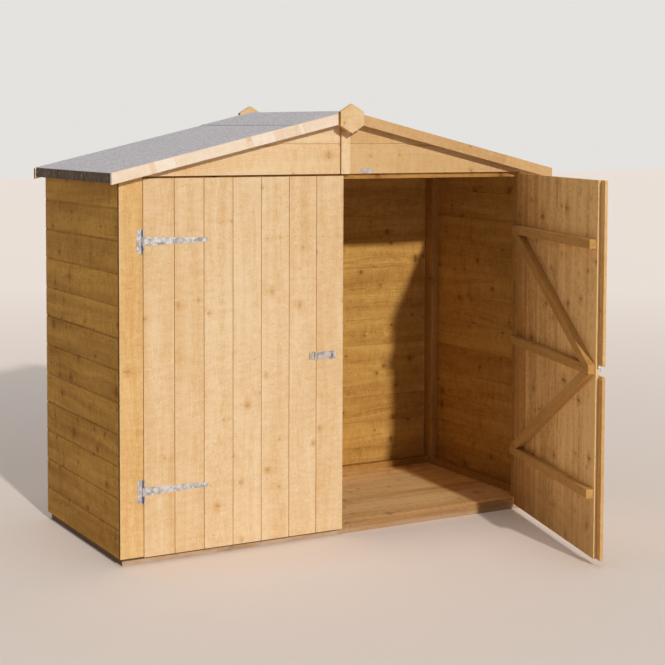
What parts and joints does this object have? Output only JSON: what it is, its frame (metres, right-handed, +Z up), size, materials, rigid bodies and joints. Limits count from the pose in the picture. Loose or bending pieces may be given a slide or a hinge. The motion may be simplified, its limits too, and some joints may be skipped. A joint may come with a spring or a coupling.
{
  "type": "bike shelter",
  "caption": "Low timber apex store for bikes, of shiplap on battens under a felted roof, with two boarded doors on tee hinges and a hasp",
  "frame": {"origin": "on the ground, at the middle of the shed's width and of its depth over the front trims and the back boards", "axes": "+X to the right seen from the front, +Y from the doors towards the back wall, +Z up"},
  "size_m": [1.91, 1.6457, 1.6575],
  "materials": {
    "base_timber": "rough sawn softwood, dip treated brown",
    "shiplap": "planed softwood, dip treated honey brown",
    "battens": "planed softwood framing with eased corners",
    "trims": "planed softwood",
    "barge_boards": "finger-jointed planed softwood",
    "roof_boards": "planed softwood",
    "felt": "bitumen felt faced with grey mineral grains",
    "door_boards": "planed matchboard with V joints",
    "galvanised_steel": "bright galvanised sheet and wire"
  },
  "bodies": {
    "shed": {"base_rails": "base_timber", "cross_bearers": "base_timber", "floor": "base_timber", "left_wall": "shiplap", "right_wall": "shiplap", "back_wall": "shiplap", "side_posts": "battens", "side_rails": "battens", "back_posts": "battens", "back_rails": "battens", "back_rafters": "battens", "front_rafters": "battens", "corner_trims": "trims", "door_jambs": "battens", "door_header": "battens", "front_gable": "shiplap", "gable_strip": "trims", "blank_plate": "galvanised_steel", "roof_left": "roof_boards", "roof_right": "roof_boards", "roof_felt": "felt", "ridge_cap": "felt", "eave_battens": "battens", "ridge_battens": "battens", "barge_front_left": "barge_boards", "barge_front_right": "barge_boards", "barge_back_left": "barge_boards", "barge_back_right": "barge_boards", "front_finial": "trims", "back_finial": "trims", "hinge_plates": "galvanised_steel"},
    "left_door": {"left_door_boards": "door_boards", "left_door_ledges": "battens", "left_door_braces": "battens", "left_door_straps": "galvanised_steel", "hasp_plate": "galvanised_steel"},
    "right_door": {"right_door_boards": "door_boards", "right_door_ledges": "battens", "right_door_braces": "battens", "right_door_straps": "galvanised_steel", "slam_strips": "trims", "hasp_staple": "galvanised_steel"},
    "hasp": {"hasp_leaf": "galvanised_steel"}
  },
  "joints": [
    {"name": "left_door_hinge", "type": "hinge", "parent": "shed", "child": "left_door", "pos_m": [-0.824, -0.3968, 0.7], "axis": [0, 0, -1], "range_deg": [0, 120]},
    {"name": "right_door_hinge", "type": "hinge", "parent": "shed", "child": "right_door", "pos_m": [0.824, -0.3968, 0.7], "axis": [0, 0, 1], "range_deg": [-73.6, 46]},
    {"name": "hasp_hinge", "type": "hinge", "parent": "left_door", "child": "hasp", "pos_m": [-0.052, -0.3963, 0.705], "axis": [0, 0, 1], "range_deg": [0, 175]}
  ]
}
